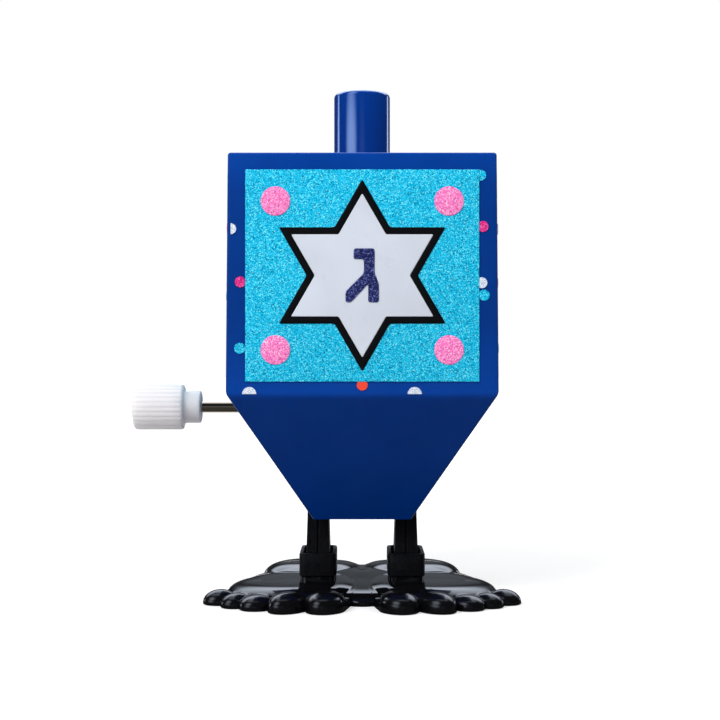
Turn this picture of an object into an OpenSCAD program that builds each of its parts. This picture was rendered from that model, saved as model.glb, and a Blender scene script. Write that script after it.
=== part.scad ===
// Wind-up hopping dreidel: a square dreidel body on two legs with one pair of toed feet.
// The body rocks on its legs, driven by a clockwork motor that the side knob winds.
// X runs across the face, -Y is the front, Z is up, and the origin is on the floor under the body.

/* [Body] */
// Width of the body at its top
body_top_w = 42; // [38:0.1:46]
// Width of the body at the fold above the taper
body_fold_w = 42.6; // [38:0.1:46]
// Height of the body's flat top above the floor
body_top_z = 72.5; // [66:0.1:80]
// Height of the fold above the floor
fold_z = 34.8; // [32:0.1:37]
// Width of the taper's open bottom end
tip_w = 16.2; // [14.6:0.1:18]
// Height of the taper's bottom end above the floor
tip_z = 13.8; // [12.5:0.1:15.5]
// Thickness of the moulded walls
wall = 1.5; // [1:0.1:2]
// Width of the small flats along the body's edges
edge_flat = 0.6; // [0.2:0.1:1.2]

/* [Stem] */
// Diameter of the peg on top
stem_d = 9.5; // [8:0.1:12]
// Height of the peg above the body
stem_h = 12.9; // [8:0.1:18]
// Rounding of the peg's top edge
stem_round = 0.7; // [0.2:0.1:1]

/* [Panels and prints] */
// Width of each glitter panel
panel_w = 36.5; // [32:0.1:38]
// Height of each glitter panel
panel_h = 33.1; // [28:0.1:35]
// Thickness of each glitter panel
panel_t = 0.25; // [0.15:0.05:0.5]
// Height of the panels' lower edge above the fold
panel_rise = 1.9; // [0.5:0.1:2.6]
// Thickness of the raised prints
print_t = 0.15; // [0.1:0.05:0.3]
// Diameter of a confetti dot
dot_d = 1.7; // [1:0.1:2.4]
// Height of the letters on the sides and back
side_letter_h = 18; // [10:0.5:24]
// Height of the letter on the front
front_letter_h = 8.4; // [5:0.2:9]
// Point-to-point size of the star on the front
star_d = 30; // [20:0.5:32]
// Width of the star's dark border
star_border_w = 1.1; // [0.6:0.1:1.6]
// Diameter of the round spots in the front panel's corners
spot_d = 4.6; // [2:0.1:5]

/* [Winding knob] */
// Diameter of the knob over its ribs
knob_d = 7.8; // [6:0.1:9]
// Length of the ribbed grip
knob_len = 8.5; // [6:0.1:10]
// Number of ribs round the grip
knob_ribs = 28; // [18:2:32]
// Depth of the grooves between the ribs
rib_depth = 0.3; // [0.1:0.05:0.4]
// Diameter of the plain collar next to the grip
knob_collar_d = 5.5; // [4:0.1:6.5]
// Length of the plain collar
knob_collar_len = 2.9; // [1.5:0.1:4]
// Distance of the knob's outer end from the body's middle
knob_reach = 38.8; // [36.5:0.1:44]
// Diameter of the winding shaft
shaft_d = 2; // [1.6:0.1:2.2]
// Height of the winding shaft above the floor
shaft_z = 32.1; // [31.9:0.1:32.6]

/* [Legs] */
// Distance between the middles of the two legs
leg_gap = 14.8; // [14.4:0.1:15]
// Width of a leg under the body
leg_w = 3.6; // [3:0.1:3.8]
// Width of a leg where it enters its collar
leg_low_w = 3.9; // [3:0.05:4]
// Depth of a leg under the body, front to back
leg_depth = 6.5; // [5:0.1:7]
// Depth of a leg where it enters its collar
leg_low_depth = 9; // [6:0.1:9.4]
// Thickness of the plate on the leg's upper end
leg_plate_t = 1.8; // [1:0.1:1.9]
// Swing of the body on its legs, each way, in degrees
rock_angle = 6; // [3:0.5:6]

/* [Feet] */
// Distance from the origin to the tip of the outermost toe
toe_reach = 27.8; // [24:0.1:30]
// Height of the toes
toe_h = 3.3; // [2.5:0.1:4.5]
// Distance from the origin to the back of a heel
heel_reach = 21.2; // [18:0.1:24]
// Height of the plate's plain edge
sole_t = 0.4; // [0.3:0.1:1.5]
// Height of the domed ball of each foot
ball_h = 3.3; // [2.5:0.1:4]
// Width of a leg collar
collar_w = 6.2; // [6:0.1:6.6]
// Depth of a leg collar, front to back
collar_depth = 11.5; // [11:0.1:13]
// Height of a collar's rim above the floor
collar_z = 7.8; // [6.5:0.1:9]
// Thickness of a collar's wall
collar_wall = 0.7; // [0.5:0.05:0.9]

/* [Motor] */
// Gear module of the whole train
gear_module = 0.4; // [0.4]
// Play between meshed teeth
backlash = 0.1; // [0.08:0.01:0.14]
// Teeth on the main gear
main_teeth = 40; // [40]
// Teeth on the second gear's wheel
second_teeth = 28; // [28]
// Teeth on the crank gear's wheel
crank_teeth = 30; // [30]
// Teeth on each pinion
pinion_teeth = 10; // [10]
// Teeth on the escape wheel
escape_teeth = 15; // [12:1:18]
// Width of the motor case between its plates
case_inner_w = 12; // [12:0.1:12.2]
// Thickness of each case plate
case_plate_t = 1; // [0.8:0.1:1]
// Eccentricity of the crank pins
crank_throw = 1; // [0.6:0.1:1]
// Diameter of a crank pin
crank_pin_d = 1.4; // [1:0.1:1.5]
// Turns of the mainspring
spring_turns = 6; // [4:0.5:7]
// Thickness of the mainspring strip
spring_t = 0.25; // [0.15:0.05:0.35]

/* [Hidden] */
$fn = 64;
// Running fit of a shaft or a trunnion in its bore, on the radius
run_gap = 0.05;
// Fit of a pressed piece, on the radius
press_gap = 0.01;
// Free space beside a piece that moves
free_gap = 0.3;
// Space between two pieces of one body that lie on each other's curved faces
seat_gap = 0.1;
// Overrun of every cut
over = 1;

body_top_half = body_top_w / 2;
body_fold_half = body_fold_w / 2;
tip_half = tip_w / 2;
body_h = body_top_z - fold_z;
taper_h = fold_z - tip_z;
face_lean = atan((body_fold_half - body_top_half) / body_h);
taper_run = (body_fold_half - tip_half) / taper_h;
taper_wall = wall * sqrt(1 + taper_run * taper_run);
inner_tip_half = tip_half - taper_wall;
inner_fold_half = body_fold_half - wall;
inner_top_half = body_top_half - wall;
inner_run = (inner_fold_half - inner_tip_half) / taper_h;
inner_top_z = body_top_z - wall;

// Bosses that join the two shells
boss_d = 3.6;
pin_d = 1.8;
pin_len = 2;
boss_inset = 3;
boss_low_rise = 5;

// Stem, held by a neck and a flange under the top wall
neck_d = 7;
flange_d = 12;
flange_t = 1.6;

// Axes of the gear train, as distances from the winding shaft at A:
// B is the second gear, C the crank gear, D the escape wheel and E the pallet
pitch_main = gear_module * main_teeth / 2;
pitch_second = gear_module * second_teeth / 2;
pitch_crank = gear_module * crank_teeth / 2;
pitch_pinion = gear_module * pinion_teeth / 2;
dist_ab = pitch_main + pitch_pinion;
dist_bc = pitch_second + pitch_pinion;
dist_cd = pitch_crank + pitch_pinion;
dist_ac = 9.6;
axis_a = [0, shaft_z];
axis_c = axis_a + [0, dist_ac];
// Height of B above A follows from the three centre distances
b_up = (dist_ab * dist_ab - dist_bc * dist_bc + dist_ac * dist_ac) / (2 * dist_ac);
axis_b = axis_a + [sqrt(dist_ab * dist_ab - b_up * b_up), b_up];
angle_cd = 133;
axis_d = axis_c + dist_cd * [cos(angle_cd), sin(angle_cd)];
angle_de = 38;
dist_de = 8.9;
axis_e = axis_d + dist_de * [cos(angle_de), sin(angle_de)];

// Teeth
pressure_angle = 25;
addendum = 0.8 * gear_module;
dedendum = 1.05 * gear_module;

// Places along X inside the case, from its left plate to its right one
case_half = case_inner_w / 2;
case_out = case_half + case_plate_t;
spring_w = 3.8;
main_gear_t = 1.6;
wheel_t = 1.2;
arbor_x = [-case_half + seat_gap, -case_half + spring_w + 2 * free_gap];
spring_x = [arbor_x[1] - free_gap / 2 - spring_w, arbor_x[1] - free_gap / 2];
main_x = [arbor_x[1] + free_gap, arbor_x[1] + free_gap + main_gear_t];
click_x = [main_x[1] + free_gap / 2, main_x[1] + free_gap / 2 + wheel_t];
second_x = [click_x[1] + 1.5 * free_gap, click_x[1] + 1.5 * free_gap + wheel_t];
crank_x = [second_x[1] + 1.5 * free_gap, second_x[1] + 1.5 * free_gap + wheel_t];
second_pinion_x = [main_x[0] - free_gap, second_x[0]];
crank_pinion_x = [second_x[0] - free_gap, crank_x[0]];
escape_pinion_x = [crank_x[0] - free_gap / 2, crank_x[1] + free_gap];
escape_x = [main_x[1] - free_gap, main_x[1] - free_gap + wheel_t];

// Legs
leg_x = leg_gap / 2;
leg_plate_out = leg_x + leg_w / 2;
leg_plate_in = leg_plate_out - leg_plate_t;
leg_foot_z = 1.6;
leg_step_z = 20.5;
leg_eye_r = 4.4;
leg_neck = 3.3;
window_gap = 0.2;
window_half = crank_throw + dist_ac * sin(rock_angle) + crank_pin_d / 2 + window_gap;
window_h = 2 * (crank_throw + crank_pin_d / 2 + window_gap);
window_rim = 1.5;
groove_w = 0.3;
groove_depth = 0.3;
slot_half = leg_depth / 2 + (shaft_z - tip_z) * sin(rock_angle) + free_gap;
slot_top_z = tip_z + (leg_plate_out + free_gap - inner_tip_half) / inner_run;

// Turning pieces
pivot_r = 0.6;
crank_core_r = 0.9;
journal_r = crank_throw + crank_pin_d / 2 + seat_gap;
journal_out = case_out + seat_gap;
ratchet_teeth = 12;
ratchet_r = 3;
ratchet_tooth = 0.7;
click_pin_r = 0.5;
click_pin_dist = 5.2;
click_arm_w = 0.6;
click_bend_angle = 50;
click_tip_angle = 62;
arbor_r = 2.1;
shaft_r = shaft_d / 2;
knob_end_flat = 0.7;
knob_cap_t = 1.5;
rib_shares = [0.3, 0.7];

// Mainspring and its barrel
barrel_r = dist_ac - crank_core_r - free_gap / 2;
barrel_wall = 0.5;
spring_in = arbor_r + seat_gap + spring_t / 2;
spring_out = barrel_r - barrel_wall - spring_t / 2;
spring_steps = 20;

// Escape wheel and pallet
escape_r = 4.5;
escape_tooth = 1.3;
pallet_pin_r = 0.35;
pallet_spread_angle = 32;
pallet_gap = 0.6;
pallet_arm_w = 1.1;
pallet_t = 0.8;
pallet_x = [escape_x[1], escape_x[1] + pallet_t];

// Case outline, in the plane across X: a round part about the shaft under a box.
// The box's front, back, underside and top are measured from the shaft
case_r = 9.9;
case_front = -11;
case_back = 14;
case_low_rise = 5.9;
case_high_rise = 23.9;
case_low = shaft_z + case_low_rise;
case_top = shaft_z + case_high_rise;
pillar_r = 1.3;
peg_r = 0.75;
lug_r = 2.1;
pillar_angle = 46;
pillar_dist = case_r + lug_r / 2;
pillars = [
    axis_a + pillar_dist * [-cos(pillar_angle), -sin(pillar_angle)],
    axis_a + pillar_dist * [cos(pillar_angle), -sin(pillar_angle)],
    [case_front + lug_r + free_gap, case_low + lug_r + seat_gap],
    [case_back - lug_r - seat_gap, case_top - 2 * lug_r - free_gap]
];
trunnion_r = 2.45;
trunnion_end = leg_plate_out + free_gap;
rib_x = [case_half - seat_gap, case_out];
rib_lip = 2;
rib_lip_t = 1.5;

// Collars on the foot
collar_round = 1;
collar_base_z = 4.1;
collar_step = 0.25;

// Feet: each toe is an oval that points away from the origin.
// Its angle from the front, and its tip's distance, half width and half length as shares of toe_reach
toe_angles = [20.7, 37.2, 51.0, 60.0, 69.5];
toe_tip_shares = [0.744, 0.843, 0.894, 0.944, 0.999];
toe_width_shares = [0.113, 0.097, 0.094, 0.079, 0.083];
toe_length_shares = [0.144, 0.129, 0.112, 0.097, 0.104];
// Their heights as shares of toe_h
toe_height_shares = [0.985, 0.939, 0.712, 0.697, 0.727];
// Ball, heel, instep and web: middle and half sizes as shares of toe_reach or heel_reach
ball_shares = [0.432, -0.122, 0.385, 0.388];
heel_shares = [0.425, 0.613, 0.42, 0.392];
instep_shares = [0.453, 0.217, 0.519, 0.425];
web_shares = [0.0, 0.189, 0.34, 0.75];
// Their heights as shares of ball_h
heel_height_share = 1.22;
instep_height_share = 0.8;
web_height_share = 0.88;
// Powers that set how roundly the ball, heel, instep, web and each toe rise from their edges
plate_powers = [0.8, 0.9, 0.7, 0.9];
toe_powers = [1.2, 1.3, 1.6, 1.8, 2];
// Shares by which the ball, heel, instep and web rise from their middles to their backs
plate_rise_shares = [0, 0, 0.35, 0.25];
// Steps of the foot's surface round the origin and out from it
front_steps = 108;
back_steps = 40;
ring_steps = 16;
// Power that crowds the steps towards the rim
ring_power = 1.7;

// Extrudes a drawing made in (y, z) from x0 to x1
module along_x(x) {
    translate([x[0], 0, 0])
        rotate([90, 0, 90])
            linear_extrude(height = x[1] - x[0]) children();
}

// Extrudes a drawing made in (x, z) from y0 to y1
module along_y(y) {
    translate([0, y[1], 0])
        rotate([90, 0, 0])
            linear_extrude(height = y[1] - y[0]) children();
}

// Round bar along X about the axis at p
module bar_x(p, r, x) {
    along_x(x) translate(p) circle(r);
}

// Mirrors a left piece to the right as well
module both_sides() {
    children();
    mirror([1, 0, 0]) children();
}

module rounded_rect(w, h, r) {
    square([w - 2 * r, h], center = true);
    square([w, h - 2 * r], center = true);
    for (sx = [-1, 1], sy = [-1, 1])
        translate([sx * (w / 2 - r), sy * (h / 2 - r)]) circle(r);
}

// Side view of the body, grown by g all round, from the taper's end to the top
module body_profile(g) {
    polygon([
        [-tip_half - g, tip_z], [tip_half + g, tip_z],
        [body_fold_half + g, fold_z], [body_top_half + g, body_top_z],
        [-body_top_half - g, body_top_z], [-body_fold_half - g, fold_z]
    ]);
}

module cavity_profile() {
    polygon([
        [-inner_tip_half + over * inner_run, tip_z - over],
        [-inner_tip_half, tip_z], [-inner_fold_half, fold_z],
        [-inner_top_half, inner_top_z], [inner_top_half, inner_top_z],
        [inner_fold_half, fold_z], [inner_tip_half, tip_z],
        [inner_tip_half - over * inner_run, tip_z - over]
    ]);
}

// Front view turned by 45 degrees, which takes the flats off the four upright edges
module edge_profile() {
    flat_in = edge_flat / sqrt(2);
    polygon([
        [-tip_half * sqrt(2) + flat_in, tip_z], [tip_half * sqrt(2) - flat_in, tip_z],
        [body_fold_half * sqrt(2) - flat_in, fold_z],
        [body_top_half * sqrt(2) - flat_in, body_top_z],
        [-body_top_half * sqrt(2) + flat_in, body_top_z],
        [-body_fold_half * sqrt(2) + flat_in, fold_z]
    ]);
}

module square_prism(half) {
    intersection() {
        along_x([-half, half]) children();
        along_y([-half, half]) children();
    }
}

module body_solid() {
    intersection() {
        square_prism(body_fold_half + over) body_profile(0);
        rotate([0, 0, 45])
            along_y([-body_fold_w, body_fold_w]) edge_profile();
        square_prism(body_fold_half + over) top_edge_profile();
    }
}

// Side view that takes the flat off the top edge
module top_edge_profile() {
    polygon([
        [-body_fold_half - over, tip_z], [body_fold_half + over, tip_z],
        [body_fold_half + over, body_top_z - edge_flat - over],
        [body_top_half - edge_flat, body_top_z],
        [-body_top_half + edge_flat, body_top_z],
        [-body_fold_half - over, body_top_z - edge_flat - over]
    ]);
}

// Everything that is cut from both shells
module shell_cuts() {
    square_prism(body_fold_half) cavity_profile();
    // Slots for the legs in the left and right slopes
    translate([-body_fold_half, -slot_half, tip_z - over])
        cube([body_fold_w, 2 * slot_half, slot_top_z - tip_z + over]);
    // Hole for the winding shaft in the left slope
    bar_x(axis_a, shaft_r + free_gap, [-body_fold_half, -inner_tip_half]);
    // Hole for the stem's neck
    translate([0, 0, inner_top_z - over])
        cylinder(r = neck_d / 2 + run_gap, h = wall + 2 * over);
}

boss_x = min(inner_fold_half, inner_top_half) - boss_inset;
boss_low_z = fold_z + boss_low_rise;
boss_high_z = inner_top_z - boss_inset;

// One cradle rib, seen from the side: it meets the case's upright edge and laps over its corners
module rib_profile(edge, side) {
    reach = max(inner_fold_half, inner_top_half) + wall / 2;
    difference() {
        translate([side > 0 ? edge - rib_lip : -reach, case_low - rib_lip_t])
            square([reach - abs(edge) + rib_lip, case_top - case_low + 2 * rib_lip_t]);
        translate([side > 0 ? -over : edge, case_low])
            square([abs(edge) + over, case_top - case_low]);
    }
}

// A shell before its pins and sockets; side is -1 at the front and 1 at the back
module half_shell(side) {
    half_box = [2 * body_fold_w, body_fold_w, body_top_z + over];
    intersection() {
        union() {
            difference() {
                body_solid();
                shell_cuts();
            }
            intersection() {
                square_prism(body_fold_half) body_profile(-wall / 2);
                union() {
                    for (sx = [-1, 1], z = [boss_low_z, boss_high_z])
                        translate([sx * boss_x, 0, z])
                            rotate([90, 0, 0])
                                cylinder(d = boss_d, h = body_fold_w, center = true);
                    both_sides()
                        along_x(rib_x)
                            rib_profile(side > 0 ? case_back : case_front, side);
                }
            }
        }
        translate([-body_fold_w, side > 0 ? 0 : -body_fold_w, 0]) cube(half_box);
    }
}

module at_bosses() {
    for (sx = [-1, 1], z = [boss_low_z, boss_high_z])
        translate([sx * boss_x, 0, z]) rotate([-90, 0, 0]) children();
}

module front_shell() {
    color("#0b4396") {
        half_shell(-1);
        at_bosses() translate([0, 0, -pin_len]) cylinder(d = pin_d, h = 2 * pin_len);
    }
}

module rear_shell() {
    color("#0b4396")
        difference() {
            half_shell(1);
            at_bosses()
                translate([0, 0, -over])
                    cylinder(r = pin_d / 2 + run_gap, h = pin_len + 2 * free_gap + over);
        }
}

module stem() {
    color("#2855a6") {
        translate([0, 0, body_top_z])
            rotate_extrude() {
                square([stem_d / 2 - stem_round, stem_h]);
                square([stem_d / 2, stem_h - stem_round]);
                translate([stem_d / 2 - stem_round, stem_h - stem_round])
                    intersection() {
                        circle(stem_round);
                        square(stem_round);
                    }
            }
        translate([0, 0, inner_top_z]) cylinder(d = neck_d, h = wall);
        translate([0, 0, inner_top_z - flange_t]) cylinder(d = flange_d, h = flange_t);
    }
}

// Puts a flat drawing on a face of the box: 0 front, 1 right, 2 back, 3 left.
// Its origin is the middle of the fold, its y runs up the face and its z points out
module on_face(n) {
    rotate([0, 0, 90 * n])
        translate([0, -body_fold_half, fold_z])
            rotate([90 - face_lean, 0, 0]) children();
}

panel_mid = panel_rise + panel_h / 2;

module panel(n) {
    color("#19afe4")
        on_face(n)
            translate([-panel_w / 2, panel_rise, 0]) cube([panel_w, panel_h, panel_t]);
}

module print_on_panel(n, level = 0) {
    on_face(n)
        translate([0, panel_mid, panel_t + level * print_t])
            linear_extrude(height = print_t) children();
}

function star_points(d) = [
    for (i = [0:11])
        let (r = i % 2 == 0 ? d / 2 : d / 2 / sqrt(3))
            [r * sin(30 * i), r * cos(30 * i)]
];

module star_print() {
    color("white") print_on_panel(0) polygon(star_points(star_d - 4 * star_border_w));
}

module star_border() {
    color("black")
        print_on_panel(0)
            difference() {
                polygon(star_points(star_d));
                polygon(star_points(star_d - 4 * star_border_w));
            }
}

spot_x_share = 0.74;
spot_y_share = 0.7;

module corner_spots() {
    color("#ee6fb0")
        print_on_panel(0)
            for (sx = [-1, 1], sy = [-1, 1])
                translate([sx * spot_x_share * panel_w / 2, sy * spot_y_share * panel_h / 2])
                    circle(d = spot_d);
}

// Letters of the dreidel game in plain block form, drawn in a unit height about their middle
stroke_share = 0.2;
gimel_w_share = 0.62;
gimel_head_share = 0.15;
gimel_step_share = 0.08;
nun_w_share = 0.6;
hei_w_share = 0.86;
shin_w_share = 1.04;
heel_share = 0.34;
gap_share = 0.14;

module gimel_letter(h) {
    s = stroke_share;
    w = gimel_w_share;
    head = gimel_head_share;
    back = gimel_w_share - gimel_step_share;
    scale(h)
        translate([-w / 2, -1 / 2])
            polygon([
                [head, 1 - s], [back - s, 1 - s], [back - s, heel_share + s],
                [0, s], [0, 0], [s / 2, 0], [w - s, heel_share],
                [w - s, 0], [w, 0], [w, heel_share], [back, heel_share + s],
                [back, 1], [head, 1]
            ]);
}

module nun_letter(h) {
    s = stroke_share;
    w = nun_w_share;
    scale(h)
        translate([-w / 2, -1 / 2])
            polygon([
                [0, 0], [w, 0], [w, 1], [s, 1], [s, 1 - s], [w - s, 1 - s], [w - s, s], [0, s]
            ]);
}

module hei_letter(h) {
    s = stroke_share;
    w = hei_w_share;
    scale(h)
        translate([-w / 2, -1 / 2]) {
            polygon([[0, 1], [0, 1 - s], [w - s, 1 - s], [w - s, 0], [w, 0], [w, 1]]);
            square([s, 1 - s - gap_share]);
        }
}

module shin_letter(h) {
    s = stroke_share;
    w = shin_w_share;
    mid = w / 2;
    scale(h)
        translate([-w / 2, -1 / 2])
            polygon([
                [0, 1], [0, 0], [w, 0], [w, 1], [w - s, 1], [w - s, s],
                [mid + s / 2, s], [mid + s / 2, 1], [mid - s / 2, 1], [mid - s / 2, s],
                [s, s], [s, 1]
            ]);
}

module letter_gimel() {
    color("#1b2350") print_on_panel(0, 1) gimel_letter(front_letter_h);
}

module letter_nun() {
    color("#1b2350") print_on_panel(1) nun_letter(side_letter_h);
}

module letter_shin() {
    color("#1b2350") print_on_panel(2) shin_letter(side_letter_h);
}

module letter_hei() {
    color("#1b2350") print_on_panel(3) hei_letter(side_letter_h);
}

// Confetti dots: places as shares of the panel's half width and of its height from its lower edge
cyan_dot_shares = [[1.01, 0.972], [1.04, 0.408], [-1.045, 0.158]];
magenta_dot_shares = [[1.03, 0.731], [-1.04, 0.47]];
white_dot_shares = [[1.02, 0.466]];
orange_dot_shares = [[0, -0.015]];
fold_dot_shares = [-0.964, 0.447];
fold_dot_d = 1.3 * dot_d;
edge_dot_share = 0.72;

// Raises a drawing on every face, with what lies under the panel taken off
module beside_panels() {
    for (n = [0:3])
        on_face(n)
            linear_extrude(height = print_t)
                difference() {
                    children();
                    translate([-panel_w / 2, panel_rise]) square([panel_w, panel_h]);
                }
}

module dots(shares) {
    for (p = shares)
        translate([p[0] * panel_w / 2, panel_rise + p[1] * panel_h]) circle(d = dot_d);
}

module dots_cyan() {
    color("#19afe4") beside_panels() dots(cyan_dot_shares);
}

module dots_magenta() {
    color("#d81b84") beside_panels() dots(magenta_dot_shares);
}

module dots_orange() {
    color("#e94641") beside_panels() dots(orange_dot_shares);
}

module dots_white() {
    edge_dot_y = panel_rise + edge_dot_share * panel_h;
    edge_dot_x = body_fold_half - edge_flat - edge_dot_y * sin(face_lean);
    color("white")
        beside_panels() {
            dots(white_dot_shares);
            // Half dots that stop at the fold
            for (x = fold_dot_shares)
                translate([x * panel_w / 2, 0])
                    intersection() {
                        circle(d = fold_dot_d);
                        translate([-fold_dot_d, 0]) square([2 * fold_dot_d, fold_dot_d]);
                    }
            // Half dot that stops at the face's left edge
            translate([-edge_dot_x, edge_dot_y])
                intersection() {
                    circle(d = dot_d);
                    translate([0, -dot_d]) square([dot_d, 2 * dot_d]);
                }
        }
}

// Outline of a leg from the front, drawn at the left of the middle
module leg_front_profile() {
    out = -leg_plate_out;
    low_out = -leg_x - leg_low_w / 2;
    low_in = -leg_x + leg_low_w / 2;
    polygon([
        [low_out, leg_foot_z], [low_in, leg_foot_z], [low_in, collar_z],
        [-leg_x + leg_w / 2, tip_z], [-leg_x + leg_w / 2, leg_step_z],
        [-leg_plate_in, leg_step_z], [-leg_plate_in, case_top],
        [out, case_top], [out, tip_z], [low_out, collar_z]
    ]);
}

// Outline of a leg from the side, with its eye and the window round the crank pin
module leg_side_profile() {
    window_top = axis_c[1] + window_h / 2 + window_rim;
    frame_half = window_half + window_rim;
    difference() {
        union() {
            polygon([
                [-leg_low_depth / 2, leg_foot_z], [leg_low_depth / 2, leg_foot_z],
                [leg_low_depth / 2, collar_z], [leg_depth / 2, tip_z],
                [leg_depth / 2, leg_step_z], [leg_neck, leg_step_z + leg_neck],
                [leg_neck, axis_c[1]], [-leg_neck, axis_c[1]],
                [-leg_neck, leg_step_z + leg_neck], [-leg_depth / 2, leg_step_z],
                [-leg_depth / 2, tip_z], [-leg_low_depth / 2, collar_z]
            ]);
            translate(axis_a) circle(leg_eye_r);
            translate(axis_c)
                rounded_rect(2 * frame_half, window_h + 2 * window_rim, window_rim);
        }
        translate(axis_a) circle(trunnion_r + run_gap);
        translate(axis_c) square([2 * window_half, window_h], center = true);
    }
}

module left_leg_solid() {
    difference() {
        intersection() {
            along_x([-2 * leg_x, 0]) leg_side_profile();
            along_y([-case_top, case_top]) leg_front_profile();
        }
        // Groove down the leg's front and back
        along_x([-leg_x - groove_w / 2, -leg_x + groove_w / 2]) groove_profile();
    }
}

// Strips along the leg's front and back edges, seen from the side
module groove_profile() {
    low_in = leg_low_depth / 2 - groove_depth;
    high_in = leg_depth / 2 - groove_depth;
    for (s = [-1, 1])
        polygon([
            [s * low_in, collar_base_z], [s * low_in, collar_z], [s * high_in, tip_z],
            [s * high_in, leg_step_z - over], [s * (leg_depth / 2 + over), leg_step_z - over],
            [s * (leg_low_depth / 2 + over), collar_z], [s * (leg_low_depth / 2 + over), collar_base_z]
        ]);
}

module leg_left() {
    color("#080a09") left_leg_solid();
}

module leg_right() {
    color("#080a09") mirror([1, 0, 0]) left_leg_solid();
}

// Feet: lobes are [middle, half sizes, turn, height, power, rise to the back]
function toe_lobe(i, side) =
    let (a = toe_angles[i], ry = toe_length_shares[i] * toe_reach,
         reach = toe_tip_shares[i] * toe_reach - ry)
        [[side * reach * sin(a), -reach * cos(a)], [toe_width_shares[i] * toe_reach, ry],
         side * a, toe_height_shares[i] * toe_h, toe_powers[i], 0];

function plate_lobe(s, ref, side, h, i) =
    [[side * s[0] * ref, s[1] * ref], [s[2] * ref, s[3] * ref], 0, h, plate_powers[i], plate_rise_shares[i]];

toe_lobes = [
    for (side = [-1, 1], i = [0:len(toe_angles) - 1]) toe_lobe(i, side)
];
plate_lobes = [
    for (side = [-1, 1]) each [
        plate_lobe(ball_shares, toe_reach, side, ball_h, 0),
        plate_lobe(heel_shares, heel_reach, side, heel_height_share * ball_h, 1),
        plate_lobe(instep_shares, heel_reach, side, instep_height_share * ball_h, 2)
    ],
    plate_lobe(web_shares, heel_reach, 1, web_height_share * ball_h, 3)
];
lobes = concat(toe_lobes, plate_lobes);

// Position of p in a lobe's own unit circle
function in_lobe(l, p) =
    let (d = p - l[0], c = cos(l[2]), s = sin(l[2]))
        [(d[0] * c + d[1] * s) / l[1][0], (-d[0] * s + d[1] * c) / l[1][1]];

// Distance at which the ray from the origin along u leaves a lobe, or 0
function lobe_exit(l, u) =
    let (o = in_lobe(l, [0, 0]), e = in_lobe(l, u) - o,
         b = o * e / (e * e), c = (o * o - 1) / (e * e), root = b * b - c)
        root < 0 ? 0 : sqrt(root) - b;

function outline_reach(u) = max([for (l = lobes) lobe_exit(l, u)]);

// Height of a lobe's dome over the plain edge, to the fourth power, which lets domes blend
function dome4(l, p) =
    let (q = in_lobe(l, p))
        pow((l[3] - sole_t) * (1 + l[5] * q[1]), 4) * pow(max(0, 1 - q * q), l[4]);

// Height of the feet's top at p: the blended plate, or a toe where that is higher
function top_height(p) =
    let (plate = pow(sum4([for (l = plate_lobes) dome4(l, p)]), 1 / 4),
         toe = pow(max([for (l = toe_lobes) dome4(l, p)]), 1 / 4))
        sole_t + max(plate, toe);

function sum4(v) = v * [for (x = v) 1];

ray_angles = [
    for (i = [0:front_steps - 1]) 180 + 180 * i / front_steps,
    for (i = [0:back_steps - 1]) 180 * i / back_steps
];
ray_dirs = [for (a = ray_angles) [cos(a), sin(a)]];
ray_reach = [for (u = ray_dirs) outline_reach(u)];
ray_count = len(ray_angles);

// The feet's plate: rings of points from the rim inwards, then the middle, over a flat sole
module foot_plate() {
    rim = [for (i = [0:ray_count - 1]) ray_reach[i] * ray_dirs[i]];
    sole_ring = [for (p = rim) [p[0], p[1], 0]];
    rings = [
        for (k = [0:ring_steps - 1], i = [0:ray_count - 1])
            let (p = rim[i] * (1 - pow(k / ring_steps, ring_power)))
                [p[0], p[1], k == 0 ? sole_t : top_height(p)]
    ];
    points = concat(sole_ring, rings, [[0, 0, top_height([0, 0])], [0, 0, 0]]);
    top_mid = ray_count * (ring_steps + 1);
    faces = [
        for (k = [0:ring_steps - 1], i = [0:ray_count - 1])
            let (j = (i + 1) % ray_count, a = k * ray_count, b = a + ray_count)
                each [[a + i, b + j, a + j], [a + i, b + i, b + j]],
        for (i = [0:ray_count - 1])
            let (j = (i + 1) % ray_count, a = ring_steps * ray_count)
                each [[a + i, top_mid, a + j], [i, j, top_mid + 1]]
    ];
    polyhedron(points = points, faces = faces);
}

module foot_base() {
    color("#14130f")
        difference() {
            union() {
                foot_plate();
                for (side = [-1, 1])
                    translate([side * leg_x, 0, 0]) {
                        linear_extrude(height = collar_base_z)
                            rounded_rect(
                                collar_w - 2 * collar_step, collar_depth - 2 * collar_step,
                                collar_round
                            );
                        translate([0, 0, collar_base_z])
                            linear_extrude(height = collar_z - collar_base_z)
                                rounded_rect(collar_w, collar_depth, collar_round);
                    }
            }
            for (side = [-1, 1])
                translate([side * leg_x, 0, 0]) {
                    translate([0, 0, leg_foot_z])
                        linear_extrude(height = collar_z)
                            square(
                                [leg_low_w + 2 * press_gap, leg_low_depth + 2 * press_gap],
                                center = true
                            );
                    translate([0, 0, collar_base_z])
                        linear_extrude(height = collar_z)
                            rounded_rect(
                                collar_w - 2 * collar_wall, collar_depth - 2 * collar_wall,
                                collar_round - collar_wall / 2
                            );
                }
        }
}

// Gear teeth with involute flanks
function roll(a) = tan(a) * 180 / PI - a;

function tooth_half(n, rho) =
    let (r = gear_module * n / 2, base = r * cos(pressure_angle),
         mid = (PI * gear_module - backlash) / 4 / r * 180 / PI)
        mid + roll(pressure_angle) - roll(acos(min(1, base / rho)));

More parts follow.
